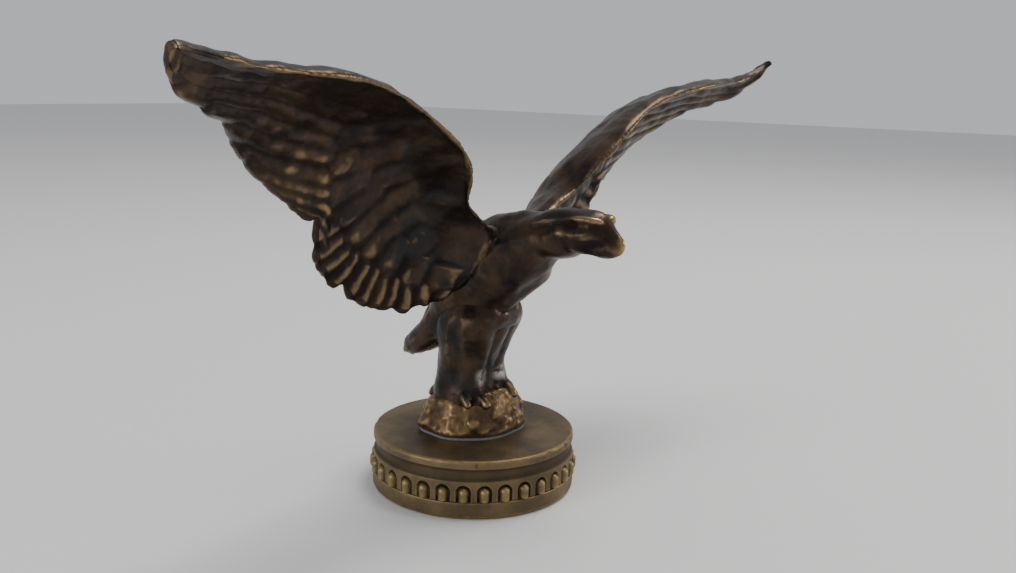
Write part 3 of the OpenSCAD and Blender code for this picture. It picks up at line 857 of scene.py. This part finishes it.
def lobes(points, rows, flat_half):
    """How high rounded feathers rise at each point, from 0 at their edges to 1 along a flat strip
    down their middles, which is that many mm wide on each side."""
    quills = 9
    raised = np.zeros(len(points))
    for u0, v0, u1, v1, half in rows:
        spine = np.array([wing_spot(u0 + (u1 - u0) * k / quills, v0 + (v1 - v0) * k / quills, 0)
                          for k in range(quills + 1)])
        gap = np.full(len(points), 1e9)
        share = np.zeros(len(points))
        for k in range(quills):
            step = spine[k + 1] - spine[k]
            t = np.clip((points - spine[k]) @ step / (step @ step), 0, 1)
            off = np.linalg.norm(points - spine[k] - t[:, None] * step, axis=1)
            share = np.where(off < gap, (k + t) / quills, share)
            gap = np.minimum(gap, off)
        gap = np.maximum(0, gap - flat_half)
        height = np.clip(1 - (gap / half) ** 2, 0, 1) * np.clip(share * 4 + 0.1, 0, 1)
        raised = np.maximum(raised, height)
    return raised


def make_wing(name, side, bend):
    """One casting: a skin through the outline, with every feather raised a little out of it."""
    bm = bmesh.new()
    marks = []

    def skin(share, angle):
        turn = abs(angle) / pi
        u = min(1, max(0, (share - 0.006) / 0.988))
        v = 0.6 * turn + 0.2 * (1 - cos(pi * turn))
        out = wing_thickness(u, v) / 2 * (1 if angle > 0 else -1)
        full = min(1, share / 0.006, (1 - share) / 0.006)
        back = angle > 0
        marks.append((u, v, back))
        spot = wing_spot(u, v * rear_edge(u), (out + (arm_muscle(u, v) if back else 0)) * full, bend)
        spot = wing_spot(u, 0.5, 0, bend).lerp(spot, full)
        spot.x -= 4.0 * max(0, 1 - u / 0.035)
        return spot

    closed_skin(bm, 300, 285, skin)
    marks = np.array(marks)
    u, v, back = marks[:, 0], marks[:, 1], marks[:, 2] > 0.5
    flat = np.array([wing_spot(a, b * rear_edge(a), 0) for a, b in zip(u, v)])
    feathers = lobes(flat, flight_feathers, 0)
    great = lobes(flat, great_coverts, 1.0)
    middle = lobes(flat, middle_coverts, 1.0)
    hand = lobes(flat, hand_coverts, 0.4)
    faint = np.clip((v - 0.1) / 0.6, 0.25, 1)
    raised = np.maximum.reduce(
        [1.2 * feathers * faint, 1.6 * great * faint, 1.7 * middle * faint, 0.5 * hand])
    wavy = np.maximum(0, v - 0.012 - 0.008 * np.sin(31 * u))
    rim = 0.6 * np.exp(-(wavy / 0.022) ** 2) * np.clip((0.97 - u) / 0.05, 0, 1)
    raised = np.where(back, 0.5 * raised, raised * np.clip((v - 0.02) / 0.1, 0, 1) + rim)
    raised *= np.clip(u / 0.06, 0, 1) * np.clip((1 - u) / 0.03, 0, 1)
    bm.normal_update()
    bm.verts.ensure_lookup_table()
    for point, height in zip(bm.verts, raised):
        point.co += point.normal * height
    hand_worked(bm, 0.5, 5.5, 0.09, 1.8)
    soften(bm, 2)
    bmesh.ops.scale(bm, vec=(side, 1, 1), verts=bm.verts)
    bmesh.ops.recalc_face_normals(bm, faces=bm.faces)
    wing = finished(name + "_casting", bm, bronze)
    note_wear(wing.data)
    wear_and_sheen = np.zeros(len(u), np.float32)
    wing.data.attributes["wear_and_sheen"].data.foreach_get("value", wear_and_sheen)
    # Painted sheen: the ridges of the rear feathers, where the light falls, get extra brightness in the
    # wear mask, most of it outboard of u 0.43.
    painted_ridge_sheen = np.clip((feathers - 0.7) / 0.3, 0, 1) * np.clip((v - 0.62) / 0.1, 0, 1)
    painted_ridge_sheen = painted_ridge_sheen * np.clip((0.72 - u) / 0.05, 0, 1)
    wear_and_sheen = 0.8 * wear_and_sheen + (0.05 + 0.27 * (u > 0.43)) * painted_ridge_sheen
    wear_and_sheen = wear_and_sheen * np.where(v > 0.97, 0.4, 1) * np.where(back, 0.65, 1)
    wing.data.attributes["wear_and_sheen"].data.foreach_set("value", wear_and_sheen.astype(np.float32))
    grime = np.zeros(len(u), np.float32)
    wing.data.attributes["grime"].data.foreach_get("value", grime)
    grime = grime * np.clip((0.975 - u) / 0.02, 0, 1)
    wing.data.attributes["grime"].data.foreach_set("value", grime.astype(np.float32))
    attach(wing, "mascot")
    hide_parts(name)


make_wing("left_wing", 1, left_tip_bend)
make_wing("right_wing", -1, Vector())

# ---------- stud, nut, washers and pins ----------
# Bright-zinc steel goes dull grey with age. A 1/4 inch stud with 20 threads per inch is screwed into
# the legs, passes through the cap and takes a plain washer, a spring washer and a nut. A steel pin
# driven through each wing's tenon holds it in the body.
steel_dark = (0.20, 0.20, 0.195)
steel_light = (0.42, 0.42, 0.41)
steel = plain_stuff("dull_zinc_steel", steel_dark, steel_light, 0.42, grain_scale=600, metallic=1.0)
stud_steel = plain_stuff("threaded_steel", steel_dark, steel_light, 0.42, grain_scale=600,
                         metallic=1.0, pitch=1.27 * mm)
for node in ("plain_washer", "spring_washer", "hex_nut", "left_wing_pin", "right_wing_pin"):
    give(node, steel)
give("mounting_stud", stud_steel)
